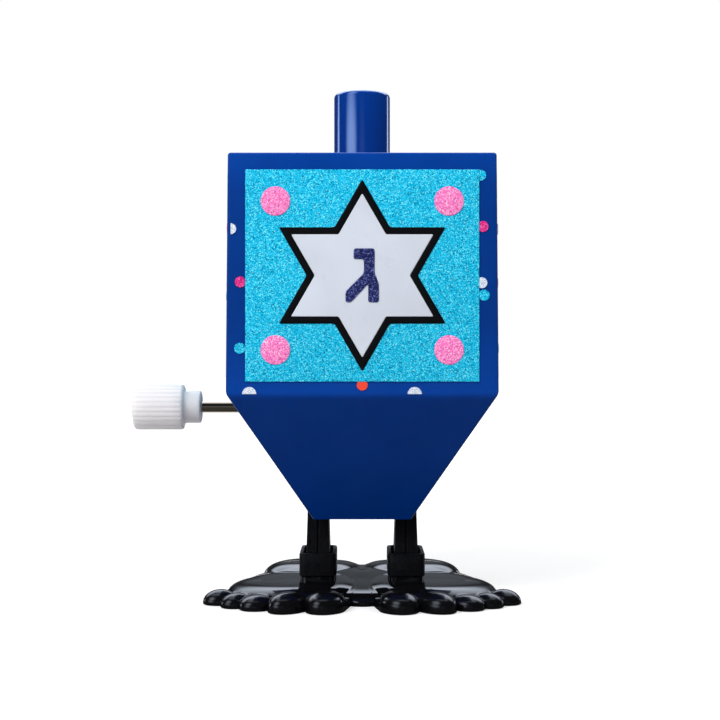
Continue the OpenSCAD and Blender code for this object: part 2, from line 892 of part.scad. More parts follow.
function gear_points(n) =
    let (r = gear_module * n / 2, base = r * cos(pressure_angle),
         tip = r + addendum, root = r - dedendum, low = max(base, root),
         radii = [root, low + gear_module / 20, r, tip])
        [
            for (t = [0:n - 1]) each [
                for (k = [0:3])
                    let (a = 360 / n * t - tooth_half(n, max(low, radii[k])))
                        radii[k] * [cos(a), sin(a)],
                for (k = [3:-1:0])
                    let (a = 360 / n * t + tooth_half(n, max(low, radii[k])))
                        radii[k] * [cos(a), sin(a)]
            ]
        ];

module gear_2d(n, turn) {
    rotate(turn) polygon(gear_points(n));
}

// Turn of a gear with n2 teeth that meshes with one of n1 teeth turned by r1, lying at angle dir
function mesh_turn(n1, n2, dir, r1) =
    dir + 180 - 360 / n2 * (0.5 - (dir - r1) * n1 / 360);

angle_ab = atan2(axis_b[1] - axis_a[1], axis_b[0] - axis_a[0]);
angle_bc = atan2(axis_c[1] - axis_b[1], axis_c[0] - axis_b[0]);
main_turn = 0;
second_turn = mesh_turn(main_teeth, pinion_teeth, angle_ab, main_turn);
crank_turn = mesh_turn(second_teeth, pinion_teeth, angle_bc, second_turn);
escape_turn = mesh_turn(crank_teeth, pinion_teeth, angle_cd, crank_turn);

// A sawtooth wheel's outline; the lead is the steep flank's share of the pitch
saw_lead_share = 0.055;

function saw_points(n, r, depth) = [
    for (t = [0:n - 1])
        let (a = 360 / n * t, b = 360 / n * (t + saw_lead_share))
            each [r * [cos(a), sin(a)], (r - depth) * [cos(b), sin(b)]]
];

module main_gear() {
    color("#e8e4d8")
        difference() {
            union() {
                along_x(main_x) translate(axis_a) gear_2d(main_teeth, main_turn);
                // Post for the click spring
                along_x([main_x[1], click_x[1]])
                    translate(axis_a + [click_pin_dist, 0]) circle(click_pin_r);
            }
            bar_x(axis_a, shaft_r + run_gap, [main_x[0] - over, main_x[1] + over]);
        }
}

module click_spring() {
    // Distance from the wheel's axis at which the pawl's tip stands
    tip_r = ratchet_r - ratchet_tooth / 4 + 2 * run_gap;
    tip = tip_r * [cos(click_tip_angle), sin(click_tip_angle)];
    bend = click_pin_dist * [cos(click_bend_angle), sin(click_bend_angle)];
    eye_r = 2 * click_pin_r;
    base = [click_pin_dist, (eye_r + click_pin_r) / 2];
    // Directions of the arm's two lengths, their outer normals and the mitre between them
    low_dir = (bend - base) / norm(bend - base);
    high_dir = (tip - bend) / norm(tip - bend);
    low_out = [low_dir[1], -low_dir[0]];
    high_out = [high_dir[1], -high_dir[0]];
    mitre = (low_out + high_out) * click_arm_w / 2 / (1 + low_out * high_out);
    color("#b8bcc4")
        along_x(click_x)
            translate(axis_a)
                difference() {
                    union() {
                        translate([click_pin_dist, 0]) circle(eye_r);
                        polygon([
                            base - low_out * click_arm_w / 2, base + low_out * click_arm_w / 2,
                            bend + mitre, tip + high_out * click_arm_w, tip, bend - mitre
                        ]);
                    }
                    translate([click_pin_dist, 0]) circle(click_pin_r + press_gap);
                }
}

module ratchet_wheel() {
    color("#e8e4d8")
        along_x(click_x)
            translate(axis_a)
                difference() {
                    rotate(30) polygon(saw_points(ratchet_teeth, ratchet_r, ratchet_tooth));
                    circle(shaft_r + press_gap);
                }
}

module spring_arbor() {
    color("#9aa0a8")
        along_x(arbor_x)
            translate(axis_a)
                difference() {
                    circle(arbor_r);
                    circle(shaft_r + press_gap);
                }
}

module winding_shaft() {
    color("#c9ccd2")
        bar_x(axis_a, shaft_r, [knob_cap_t - knob_reach, trunnion_end - seat_gap]);
}

function rib_points() =
    let (step = 360 / knob_ribs, r = knob_d / 2)
        [
            for (i = [0:knob_ribs - 1]) each [
                (r - rib_depth) * [cos(step * i), sin(step * i)],
                for (share = rib_shares)
                    r * [cos(step * (i + share)), sin(step * (i + share))]
            ]
        ];

// Half section of the knob's grip, which takes its two end edges off at 45 degrees
module knob_ends() {
    r = knob_d / 2;
    polygon([
        [0, 0], [r - knob_end_flat, 0], [r + over, knob_end_flat + over],
        [r + over, knob_len - knob_end_flat - over], [r - knob_end_flat, knob_len],
        [0, knob_len]
    ]);
}

module winding_knob() {
    color("#eef0f4")
        translate([-knob_reach, 0, shaft_z])
            rotate([90, 0, 90])
                difference() {
                    union() {
                        intersection() {
                            linear_extrude(height = knob_len) polygon(rib_points());
                            rotate_extrude() knob_ends();
                        }
                        translate([0, 0, knob_len])
                            cylinder(d = knob_collar_d, h = knob_collar_len);
                    }
                    translate([0, 0, knob_cap_t])
                        cylinder(r = shaft_r + press_gap, h = knob_len + knob_collar_len);
                }
}

// Points of the mainspring's spiral, from its inner end out
function spiral(side) = [
    for (i = [0:spring_turns * spring_steps])
        let (a = 360 * i / spring_steps, share = i / (spring_turns * spring_steps),
             r = spring_in + (spring_out - spring_in) * share + side * spring_t / 2)
            r * [cos(a), sin(a)]
];

module mainspring() {
    outer = spiral(1);
    inner = spiral(-1);
    last = len(inner) - 1;
    color("#8d939c")
        along_x(spring_x)
            translate(axis_a)
                polygon(concat(outer, [for (i = [last:-1:0]) inner[i]]));
}

module second_gear() {
    color("#e8e4d8") {
        along_x(second_pinion_x) translate(axis_b) gear_2d(pinion_teeth, second_turn);
        along_x(second_x) translate(axis_b) gear_2d(second_teeth, second_turn);
        bar_x(axis_b, pivot_r, [-case_out, case_out]);
    }
}

module crank_gear() {
    color("#e8e4d8") {
        along_x(crank_pinion_x) translate(axis_c) gear_2d(pinion_teeth, crank_turn);
        along_x(crank_x) translate(axis_c) gear_2d(crank_teeth, crank_turn);
        bar_x(axis_c, crank_core_r, [-case_half, case_half]);
        both_sides() {
            bar_x(axis_c, journal_r, [case_half, journal_out]);
            bar_x(axis_c + [0, crank_throw], crank_pin_d / 2, [journal_out, leg_plate_out]);
        }
    }
}

module escape_wheel() {
    color("#d9b45a") {
        along_x(escape_pinion_x) translate(axis_d) gear_2d(pinion_teeth, escape_turn);
        along_x(escape_x)
            translate(axis_d) polygon(saw_points(escape_teeth, escape_r, escape_tooth));
        bar_x(axis_d, pivot_r, [-case_out, case_out]);
    }
}

module pallet() {
    pin_reach = escape_r + pallet_pin_r + pallet_gap;
    color("#d9b45a") {
        for (s = [-1, 1]) {
            a = angle_de + s * pallet_spread_angle;
            pin = axis_d + pin_reach * [cos(a), sin(a)];
            arm = pin - axis_e;
            along_x(escape_x) translate(pin) circle(pallet_pin_r);
            along_x(pallet_x)
                translate(axis_e)
                    rotate(atan2(arm[1], arm[0]))
                        translate([0, -pallet_arm_w / 2])
                            square([norm(arm) + 2 * pallet_pin_r, pallet_arm_w]);
        }
        bar_x(axis_e, pallet_arm_w, pallet_x);
        bar_x(axis_e, pivot_r, [-case_out, case_out]);
    }
}

module case_outline() {
    translate(axis_a) circle(case_r);
    translate([case_front, case_low])
        square([case_back - case_front, case_top - case_low]);
    for (p = pillars) translate(p) circle(lug_r);
}

// A case plate with its bearing holes; side is -1 at the left and 1 at the right
module case_plate(x) {
    along_x(x)
        difference() {
            case_outline();
            for (p = [axis_b, axis_d, axis_e]) translate(p) circle(pivot_r + run_gap);
            translate(axis_c) circle(journal_r + run_gap);
            translate(axis_a) circle(shaft_r + run_gap);
        }
}

module trunnion(x) {
    along_x(x)
        translate(axis_a)
            difference() {
                circle(trunnion_r);
                circle(shaft_r + run_gap);
            }
}

module frame_left() {
    color("#4a4f58") {
        case_plate([-case_out, -case_half]);
        trunnion([-trunnion_end, -case_out]);
        along_x([-case_half, arbor_x[1]])
            translate(axis_a)
                difference() {
                    circle(barrel_r);
                    circle(barrel_r - barrel_wall);
                }
        for (p = pillars) {
            bar_x(p, pillar_r, [-case_half, case_half]);
            bar_x(p, peg_r, [case_half, case_out]);
        }
    }
}

module frame_right() {
    color("#4a4f58")
        difference() {
            union() {
                case_plate([case_half, case_out]);
                trunnion([case_out, trunnion_end]);
            }
            for (p = pillars) bar_x(p, peg_r + press_gap, [case_half - over, case_out + over]);
        }
}

foot_base();
leg_left();
leg_right();
front_shell();
rear_shell();
stem();
panel(0);  // panel_front
panel(1);  // panel_right
panel(2);  // panel_back
panel(3);  // panel_left
star_print();
star_border();
corner_spots();
letter_gimel();
letter_nun();
letter_shin();
letter_hei();
dots_cyan();
dots_magenta();
dots_white();
dots_orange();
frame_left();
frame_right();
mainspring();
winding_knob();
winding_shaft();
spring_arbor();
ratchet_wheel();
main_gear();
click_spring();
second_gear();
crank_gear();
escape_wheel();
pallet();
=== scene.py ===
import math
import random

import bmesh
import bpy
from mathutils import Matrix, Vector


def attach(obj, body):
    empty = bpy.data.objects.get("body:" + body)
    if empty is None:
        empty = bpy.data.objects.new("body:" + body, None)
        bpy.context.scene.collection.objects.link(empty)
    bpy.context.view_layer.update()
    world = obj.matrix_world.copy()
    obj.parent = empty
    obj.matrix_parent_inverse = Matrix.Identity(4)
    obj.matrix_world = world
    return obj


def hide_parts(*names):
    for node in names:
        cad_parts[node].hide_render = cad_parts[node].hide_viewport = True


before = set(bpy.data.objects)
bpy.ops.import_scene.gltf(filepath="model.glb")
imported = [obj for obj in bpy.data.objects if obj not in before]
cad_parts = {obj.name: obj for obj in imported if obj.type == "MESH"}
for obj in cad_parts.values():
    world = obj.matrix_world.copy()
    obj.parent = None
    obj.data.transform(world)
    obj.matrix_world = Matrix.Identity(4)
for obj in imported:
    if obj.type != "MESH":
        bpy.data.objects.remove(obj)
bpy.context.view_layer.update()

MM = 0.001

# Sizes of the dreidel in millimetres, as in the part's source
TOP_HALF, FOLD_HALF, TIP_HALF = 21.0, 21.3, 8.1
TOP_Z, FOLD_Z, TIP_Z = 72.5, 34.8, 13.8
WALL = 1.5
SHAFT_Z = 32.1
PANEL_W, PANEL_H, PANEL_T, PANEL_RISE = 36.5, 33.1, 0.25, 1.9
PRINT_T = 0.15
STAR_D, STAR_BORDER = 30.0, 1.1
LETTER_H, FRONT_LETTER_H = 18.0, 8.4
SPOT_D, SPOT_SHARES = 4.6, (0.74, 0.7)
LEAN = math.atan((FOLD_HALF - TOP_HALF) / (TOP_Z - FOLD_Z))
TAPER_RUN = (FOLD_HALF - TIP_HALF) / (FOLD_Z - TIP_Z)
TAPER_WALL = WALL * math.hypot(1, TAPER_RUN)
INNER_TIP, INNER_FOLD, INNER_TOP = TIP_HALF - TAPER_WALL, FOLD_HALF - WALL, TOP_HALF - WALL
INNER_RUN = (INNER_FOLD - INNER_TIP) / (FOLD_Z - TIP_Z)


# Camera, floor and lights, in metres, but the lens and its sensor in millimetres

LENS, SENSOR = 70.55, 36
CAMERA_PLACE = (-0.00035, -0.2409, 0.0401)
AIM = (0, 0, 0.045)
# Each lamp: place, width and height, power
LAMPS = {
    "key": ((-0.36, -0.50, 0.50), (0.34, 0.34), 4.7),
    "fill": ((0.50, -0.46, 0.48), (0.30, 0.30), 1.4),
    "top": ((0.0, 0.10, 0.65), (0.5, 0.5), 0.9),
    "rear": ((0.15, 0.6, 0.35), (0.5, 0.3), 0.9),
}
WHITE = (1, 1, 1, 1)
AMBIENT = 0.4
# The room that reflections see is dim, with soft boxes in it
ROOM_COLOUR, ROOM_LEVEL = (0.8, 0.87, 1, 1), 0.03
# Each soft box: direction, share to which each axis is squashed before the dot product,
# dot products where it starts and is full, strength
SOFT_BOXES = (
    ((0, 1, 0), (1, 1, 1), 0.2, 0.8, 0.02),
    ((0, -1, 0), (1, 1, 1), 0.95, 0.99, 0.2),
    ((0, 0.97, 0.25), (1, 1, 1), 0.978, 0.996, 0.15),
    ((0, 0.64, 0.77), (0.35, 1, 1), 0.885, 0.98, 3.6),
    ((0, 0.05, 1), (0.6, 1, 1), 0.93, 0.97, 1.5),
    ((-0.71, -0.69, 0.165), (1, 1, 4), 0.92, 1.0, 3.0),
    ((-0.92, 0.42, 0.1), (1, 1, 0.6), 0.991, 0.997, 3.0),
    ((0.73, 0.68, 0.12), (1, 1, 0.6), 0.991, 0.997, 3.0),
    ((-0.58, -0.53, 0.62), (1, 1, 1), 0.92, 1.0, 3.0),
)
FLOOR_HALF, FLOOR_DROP = 3.0, 0.00005
# How pale the paper is to the light and to the camera
PAPER_LIT, PAPER_SEEN = 0.52, 0.62
# Depth from start to end, and paleness there, of the paper in reflections
MIRRORED = (0.0, 0.03, 0.06, 0.9)
# Distance from the dreidel, and glow there, of the paper that the camera sees
GLOW = (0.06, 0.3, 0.5, 1.0)


def add_camera():
    data = bpy.data.cameras.new("camera")
    data.lens, data.sensor_width = LENS, SENSOR
    data.clip_start, data.clip_end = 0.01, 30
    cam = bpy.data.objects.new("camera", data)
    cam.location = CAMERA_PLACE
    cam.rotation_euler = (math.radians(90), 0, 0)
    bpy.context.scene.collection.objects.link(cam)
    bpy.context.scene.camera = cam


def add_area(name, place, size, power):
    """A lamp that lights the dreidel but doesn't show in reflections."""
    data = bpy.data.lights.new(name, "AREA")
    data.shape = "RECTANGLE"
    data.size, data.size_y = size
    data.energy = power
    lamp = bpy.data.objects.new(name, data)
    lamp.location = place
    lamp.rotation_euler = (Vector(AIM) - Vector(place)).to_track_quat("-Z", "Y").to_euler()
    lamp.visible_glossy = False
    bpy.context.scene.collection.objects.link(lamp)


def rgb(r, g, b):
    """Linear colour of an sRGB one given in steps of 0 to 255."""
    def linear(c):
        c /= 255
        return c / 12.92 if c <= 0.04045 else ((c + 0.055) / 1.055) ** 2.4
    return (linear(r), linear(g), linear(b), 1.0)


def link_or_set(tree, value, socket):
    """A socket takes another node's output or a plain value."""
    if isinstance(value, bpy.types.NodeSocket):
        tree.links.new(value, socket)
    else:
        socket.default_value = value


def map_range(tree, source, near, far, low, high):
    """A value from near to far becomes one from low to high."""
    node = tree.nodes.new("ShaderNodeMapRange")
    for name, value in (("From Min", near), ("From Max", far), ("To Min", low), ("To Max", high)):
        node.inputs[name].default_value = value
    tree.links.new(source, node.inputs["Value"])
    return node


def seen_directly(tree):
    """Factors that are 1 for camera, glossy and transmission rays, and for camera rays alone."""
    path = tree.nodes.new("ShaderNodeLightPath")
    camera = path.outputs["Is Camera Ray"]
    total = camera
    for name in ("Is Glossy Ray", "Is Transmission Ray"):
        add = tree.nodes.new("ShaderNodeMath")
        add.operation, add.use_clamp = "ADD", True
        tree.links.new(total, add.inputs[0])
        tree.links.new(path.outputs[name], add.inputs[1])
        total = add.outputs[0]
    return total, camera


def background(tree, colour, strength):
    node = tree.nodes.new("ShaderNodeBackground")
    node.inputs["Color"].default_value = colour
    link_or_set(tree, strength, node.inputs["Strength"])
    return node


def choose(tree, factor, a, b):
    """Shader a where the factor is 0 and b where it is 1."""
    node = tree.nodes.new("ShaderNodeMixShader")
    for source, socket in zip((factor, a.outputs[0], b.outputs[0]), node.inputs):
        tree.links.new(source, socket)
    return node


def nearness(tree, ray, way, squash):
    """Dot product of a ray and a direction, both squashed by axis and made one long."""
    way = Vector(a * b for a, b in zip(way, squash)).normalized()
    for operation, other in (("MULTIPLY", squash), ("NORMALIZE", None), ("DOT_PRODUCT", way)):
        step = tree.nodes.new("ShaderNodeVectorMath")
        step.operation = operation
        tree.links.new(ray, step.inputs[0])
        if other is not None:
            step.inputs[1].default_value = other
        ray = step.outputs[0]
    return step.outputs["Value"]


def set_world():
    """White to the camera, the room to reflections and an even soft light to all else."""
    world = bpy.data.worlds.new("studio")
    bpy.context.scene.world = world
    world.use_nodes = True
    tree = world.node_tree
    tree.nodes.clear()
    seen, camera = seen_directly(tree)
    ray = tree.nodes.new("ShaderNodeTexCoord").outputs["Generated"]
    level = ROOM_LEVEL
    for way, squash, start, full, strength in SOFT_BOXES:
        fade = map_range(tree, nearness(tree, ray, way, squash), start, full, 0, strength)
        fade.interpolation_type = "SMOOTHSTEP"
        add = tree.nodes.new("ShaderNodeMath")
        add.operation = "ADD"
        tree.links.new(fade.outputs[0], add.inputs[0])
        link_or_set(tree, level, add.inputs[1])
        level = add.outputs[0]
    room = background(tree, ROOM_COLOUR, level)
    direct = choose(tree, camera, room, background(tree, WHITE, 1.0))
    mix = choose(tree, seen, background(tree, WHITE, AMBIENT), direct)
    out = tree.nodes.new("ShaderNodeOutputWorld")
    tree.links.new(mix.outputs[0], out.inputs["Surface"])


def add_floor():
    """Paper that keeps the shadow near the dreidel and is plain white further off."""
    half = FLOOR_HALF
    mesh = bpy.data.meshes.new("floor")
    corners = [(-half, -half, 0), (half, -half, 0), (half, half, 0), (-half, half, 0)]
    mesh.from_pydata(corners, [], [(0, 1, 2, 3)])
    floor = bpy.data.objects.new("floor", mesh)
    floor.location = (0, 0, -FLOOR_DROP)
    bpy.context.scene.collection.objects.link(floor)
    mat = bpy.data.materials.new("floor_paper")
    mat.use_nodes = True
    tree = mat.node_tree
    tree.nodes.clear()
    seen, camera = seen_directly(tree)
    place = tree.nodes.new("ShaderNodeTexCoord").outputs["Object"]
    reach = tree.nodes.new("ShaderNodeVectorMath")
    reach.operation = "LENGTH"
    tree.links.new(place, reach.inputs[0])
    split = tree.nodes.new("ShaderNodeSeparateXYZ")
    tree.links.new(place, split.inputs[0])

    def blend(factor, a, b):
        node = tree.nodes.new("ShaderNodeMix")
        for value, socket in zip((factor, a, b), (node.inputs[0], node.inputs[2], node.inputs[3])):
            link_or_set(tree, value, socket)
        return node.outputs[0]

    mirrored = map_range(tree, split.outputs["Y"], *MIRRORED).outputs[0]
    pale = tree.nodes.new("ShaderNodeBsdfDiffuse")
    direct = blend(camera, mirrored, PAPER_SEEN)
    tree.links.new(blend(seen, PAPER_LIT, direct), pale.inputs["Color"])
    glow = tree.nodes.new("ShaderNodeEmission")
    white = map_range(tree, reach.outputs["Value"], *GLOW).outputs[0]
    tree.links.new(blend(camera, 0.0, white), glow.inputs["Strength"])
    add = tree.nodes.new("ShaderNodeAddShader")
    tree.links.new(pale.outputs[0], add.inputs[0])
    tree.links.new(glow.outputs[0], add.inputs[1])
    out = tree.nodes.new("ShaderNodeOutputMaterial")
    tree.links.new(add.outputs[0], out.inputs["Surface"])
    mesh.materials.append(mat)


add_camera()
set_world()
add_floor()
for lamp_name, lamp_values in LAMPS.items():
    add_area(lamp_name, *lamp_values)
bpy.context.scene.view_settings.view_transform = "Standard"


# Materials

# Height in millimetres up to which the bands of painted light and shade reach
PAINTED_SHADING_TOP = 100
# Height and tone of the body's blue, painted light and shade: painted shade on the taper and the middle of
# the sides, a painted highlight at the fold, lighter at the top
BODY_PAINTED_SHADING = (
    (0, 0.67), (33.9, 0.67), (34.8, 1.1), (35.6, 1.0), (46, 0.74), (66, 0.74), (72.5, 1.0),
)
# Size in millimetres of the patches of colour and of gloss in moulded plastic, and how
# much the gloss varies
MOTTLE_SIZE, GLOSS_SIZE, GLOSS_VARIES = 6.0, 2.5, 0.12
# Size in millimetres of a glitter flake and of the clouds over the flakes, and the clouds'
# share of the colour
FLAKE, CLOUD, CLOUD_SHARE = 0.13, 0.8, 0.04
# Roughness of the feet's plate and of the toes, and what tells them apart: a point behind
# the legs, with the distances from it where the plate ends and the toes start
FOOT_ROUGH, TOE_ROUGH = 0.08, 0.21
TOES_FROM, PLATE_END, TOES_START = (0, 6 * MM, 1 * MM), 23 * MM, 24.5 * MM


class Finish:
    """A principled material whose colour, relief and roughness nodes make in object coordinates."""

    def __init__(self, name, rough, specular=0.5, metal=0.0):
        self.mat = bpy.data.materials.new(name)
        self.mat.use_nodes = True
        self.tree = self.mat.node_tree
        self.bsdf = self.tree.nodes["Principled BSDF"]
        self.bsdf.inputs["Roughness"].default_value = rough
        self.bsdf.inputs["Specular IOR Level"].default_value = specular
        self.bsdf.inputs["Metallic"].default_value = metal
        self.coords = self.tree.nodes.new("ShaderNodeTexCoord").outputs["Object"]
        self.normal = None

    def noise(self, size, detail=2.0, stretch=None):
        """Noise whose blobs are about size millimetres."""
        node = self.tree.nodes.new("ShaderNodeTexNoise")
        node.inputs["Scale"].default_value = 1 / (size * MM)
        node.inputs["Detail"].default_value = detail
        source = self.coords
        if stretch:
            scale = self.tree.nodes.new("ShaderNodeMapping")
            scale.inputs["Scale"].default_value = stretch
            self.tree.links.new(source, scale.inputs["Vector"])
            source = scale.outputs[0]
        self.tree.links.new(source, node.inputs["Vector"])
        return node.outputs["Fac"]

    def cells(self, size, out="Color"):
        """Cells of about size millimetres."""
        node = self.tree.nodes.new("ShaderNodeTexVoronoi")
        node.feature = "F1"
        node.inputs["Scale"].default_value = 1 / (size * MM)
        self.tree.links.new(self.coords, node.inputs["Vector"])
        return node.outputs[out]

    def ramp(self, source, *stops):
        """Colours along a value; stops are (value, colour)."""
        node = self.tree.nodes.new("ShaderNodeValToRGB")
        marks = node.color_ramp.elements
        while len(marks) < len(stops):
            marks.new(0.5)
        for mark, (place, colour) in zip(marks, stops):
            mark.position, mark.color = place, colour
        self.tree.links.new(source, node.inputs["Fac"])
        return node.outputs["Color"]

    def mix(self, factor, a, b, blend="MIX"):
        """Colour b over colour a by a factor."""
        node = self.tree.nodes.new("ShaderNodeMix")
        node.data_type, node.blend_type = "RGBA", blend
        for value, socket in zip((factor, a, b), (node.inputs[0], node.inputs[6], node.inputs[7])):
            link_or_set(self.tree, value, socket)
        return node.outputs[2]

    def spread(self, source, low, high, start=0.3, end=0.7):
        return map_range(self.tree, source, start, end, low, high).outputs[0]

    def paint_shading_by_height(self, source, shading_bands):
        """Painted light and shade: the colour is multiplied by a tone that changes with height in
        millimetres.
        """
        split = self.tree.nodes.new("ShaderNodeSeparateXYZ")
        self.tree.links.new(self.coords, split.inputs[0])
        share = self.spread(split.outputs["Z"], 0, 1, 0, PAINTED_SHADING_TOP * MM)
        tone = self.ramp(share, *((z / PAINTED_SHADING_TOP, (t, t, t, 1)) for z, t in shading_bands))
        return self.mix(1, source, tone, "MULTIPLY")

    def colour(self, source):
        self.tree.links.new(source, self.bsdf.inputs["Base Color"])
        return self

    def roughness(self, source):
        self.tree.links.new(source, self.bsdf.inputs["Roughness"])
        return self

    def relief(self, source, depth, strength):
        """Bumps of about depth millimetres; calls stack."""
        bump = self.tree.nodes.new("ShaderNodeBump")
        bump.inputs["Strength"].default_value = strength
        bump.inputs["Distance"].default_value = depth * MM
        self.tree.links.new(source, bump.inputs["Height"])
        if self.normal:
            self.tree.links.new(self.normal, bump.inputs["Normal"])
        self.normal = bump.outputs[0]
        self.tree.links.new(self.normal, self.bsdf.inputs["Normal"])
        return self


def shade(colour, factor):
    return tuple(c * factor for c in colour[:3]) + (1,)


def moulded(name, colour, rough, specular, mottle=0.06, grain=0.25, depth=0.004, shading_bands=None):
    """Moulded plastic: slight flow mottling, a fine surface grain and uneven gloss.

    Shading bands are (height, tone) from the bottom up: painted light and shade.
    """
    f = Finish(name, rough, specular)
    dim, bright = shade(colour, 1 - mottle), shade(colour, 1 + mottle)
    tone = f.ramp(f.noise(MOTTLE_SIZE, 3), (0.3, dim), (0.7, bright))
    # Shading bands multiply painted light and shade into the colour by height
    f.colour(f.paint_shading_by_height(tone, shading_bands) if shading_bands else tone)
    patches = f.noise(GLOSS_SIZE)
    f.roughness(f.spread(patches, rough * (1 - GLOSS_VARIES), rough * (1 + GLOSS_VARIES)))
    return f.relief(f.noise(grain, 2), depth, 0.6)


def tinted_gloss(name, colour, tint):
    """Polished plastic whose reflections take on some of its colour."""
    f = moulded(name, colour, 0.1, 0.9, 0.03, 0.8, 0.0004)
    f.bsdf.inputs["Specular Tint"].default_value = tint
    f.bsdf.inputs["IOR"].default_value = 1.75
    return f


def foot_gloss(name, colour):
    """Polished black moulding, whose toes are rubbed a little duller than its plate."""
    f = moulded(name, colour, FOOT_ROUGH, 0.5, 0.15, 1.6, 0.002)
    reach = f.tree.nodes.new("ShaderNodeVectorMath")
    reach.operation = "DISTANCE"
    reach.inputs[1].default_value = TOES_FROM
    f.tree.links.new(f.coords, reach.inputs[0])
    away = reach.outputs["Value"]
    return f.roughness(f.spread(away, FOOT_ROUGH, TOE_ROUGH, PLATE_END, TOES_START))


def translucent(name, colour, rough, specular):
    """Pale plastic that lets a little light through, so its ribs look soft."""
    f = moulded(name, colour, rough, specular, 0.015, 0.4, 0.004)
    f.bsdf.inputs["Subsurface Weight"].default_value = 1.0
    f.bsdf.inputs["Subsurface Radius"].default_value = (1, 1, 1)
    f.bsdf.inputs["Subsurface Scale"].default_value = 2.5 * MM
    return f


def glitter(name, *tones):
    """Glitter ink: small cells of four tones, from dark to sparkling, in relief."""
    dark, mid, light, spark = (rgb(*tone) for tone in tones)
    f = Finish(name, 0.42, 0.2)
    pick = f.tree.nodes.new("ShaderNodeSeparateColor")
    f.tree.links.new(f.cells(FLAKE), pick.inputs[0])
    flakes = f.ramp(pick.outputs[0], (0.0, dark), (0.3, mid), (0.75, light), (1.0, spark))
    cloud = f.ramp(f.noise(CLOUD, 3), (0.36, shade(mid, 0.85)), (0.66, light))
    f.colour(f.mix(CLOUD_SHARE, flakes, cloud))
    f.relief(f.cells(FLAKE, "Distance"), 0.05, 0.6)
    return f.relief(f.noise(0.2, 2), 0.02, 0.4)


def brushed(name, colour, rough, stretch):
    """Metal with fine streaks."""
    f = Finish(name, rough, metal=1.0)
    streaks = f.noise(0.3, 3, stretch)
    f.colour(f.ramp(streaks, (0.3, shade(colour, 0.8)), (0.7, colour)))
    return f.relief(streaks, 0.004, 0.5)


def textured_black(name):
    """Matte black moulding with the spark-eroded texture of the legs."""
    f = Finish(name, 0.5, 0.2)
    f.colour(f.ramp(f.noise(0.5, 4), (0.3, rgb(3, 3, 5)), (0.7, rgb(12, 12, 16))))
    f.roughness(f.spread(f.noise(1.2), 0.48, 0.66))
    f.relief(f.noise(0.35, 4), 0.05, 0.6)
    return f.relief(f.cells(0.4, "Distance"), 0.03, 0.3)


# Colour, roughness, specular level, mottling, size and depth of the grain, bands of painted light and shade
MOULDED = {
    # The body's blue is darkened and lightened by height: painted light and shade
    "body_blue": ((0, 58, 145), 0.33, 0.13, 0.05, 0.3, 0.003, BODY_PAINTED_SHADING),
    "print_white": ((200, 206, 218), 0.3, 0.3, 0.03, 0.4),
    "print_black": ((8, 8, 11), 0.4, 0.25, 0.1, 0.4),
    "dot_orange": ((233, 70, 50), 0.35, 0.4, 0.05, 0.3, 0.01),
    "case_grey": ((74, 79, 88), 0.45, 0.4),
    "gear_natural": ((232, 228, 216), 0.4, 0.4, 0.03),
    "gear_amber": ((217, 180, 90), 0.4, 0.4, 0.04),
}
CYAN_GLITTER = ((0, 84, 132), (0, 172, 214), (0, 192, 232), (126, 238, 247))
# Dark, middle, light and sparkling tone
GLITTERS = {
    "glitter_cyan": CYAN_GLITTER,
    "dot_cyan": CYAN_GLITTER,
    "print_navy": ((8, 10, 34), (20, 26, 76), (38, 46, 110), (120, 130, 190)),
    "print_pink": ((200, 70, 150), (236, 108, 182), (246, 140, 200), (255, 214, 236)),
    "dot_magenta": ((150, 10, 80), (204, 20, 118), (226, 50, 140), (246, 130, 190)),
    "dot_white": ((150, 168, 200), (196, 206, 222), (212, 218, 230), (246, 248, 252)),
}
FINISHES = {name: moulded(name, rgb(*colour), *rest) for name, (colour, *rest) in MOULDED.items()}
FINISHES.update({name: glitter(name, *tones) for name, tones in GLITTERS.items()})
FINISHES.update({
    "stem_blue": tinted_gloss("stem_blue", rgb(0, 53, 138), rgb(194, 222, 255)),
    "spring_steel": brushed("spring_steel", rgb(158, 163, 172), 0.3, (1, 8, 8)),
    "knob_white": translucent("knob_white", rgb(233, 229, 231), 0.4, 0.3),
    "shaft_steel": brushed("shaft_steel", rgb(196, 184, 166), 0.08, (8, 0.6, 0.6)),
    "leg_black": textured_black("leg_black"),
    "foot_black": foot_gloss("foot_black", rgb(9, 9, 12)),
})
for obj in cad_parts.values():
    for place in obj.material_slots:
        place.material = FINISHES[place.material.name.split(".")[0]].mat


# Making pieces, in millimetres

def piece(name, bm, body, slot, nodes, sharp, place=None):
    """A mesh made in millimetres becomes a piece of the dreidel; edges over sharp degrees stay sharp."""
    bmesh.ops.remove_doubles(bm, verts=bm.verts, dist=1e-5)
    bmesh.ops.recalc_face_normals(bm, faces=bm.faces)
    if place:
        bm.transform(place)
    bm.transform(Matrix.Scale(MM, 4))
    mesh = bpy.data.meshes.new(name)
    bm.to_mesh(mesh)
    bm.free()
    mesh.shade_smooth()
    mesh.set_sharp_from_angle(angle=math.radians(sharp))
    mesh.materials.append(FINISHES[slot].mat)
    obj = bpy.data.objects.new(name, mesh)
    bpy.context.scene.collection.objects.link(obj)
    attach(obj, body)
    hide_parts(*nodes)
    return obj


def join_rings(bm, rings):
    """Faces between closed rings of equally many vertices, each ring next to the one before it."""
    n = len(rings[0])
    for a, b in zip(rings, rings[1:]):
        for i in range(n):
            j = (i + 1) % n
            bm.faces.new((a[i], a[j], b[j], b[i]))


def solid(rings):
    """Rings of equally many points, each one next to the last, make a solid with flat ends."""
    bm = bmesh.new()
    verts = [[bm.verts.new(p) for p in ring] for ring in rings]
    join_rings(bm, verts)
    bm.faces.new(list(reversed(verts[0])))
    bm.faces.new(verts[-1])
    bmesh.ops.recalc_face_normals(bm, faces=bm.faces)
    return bm


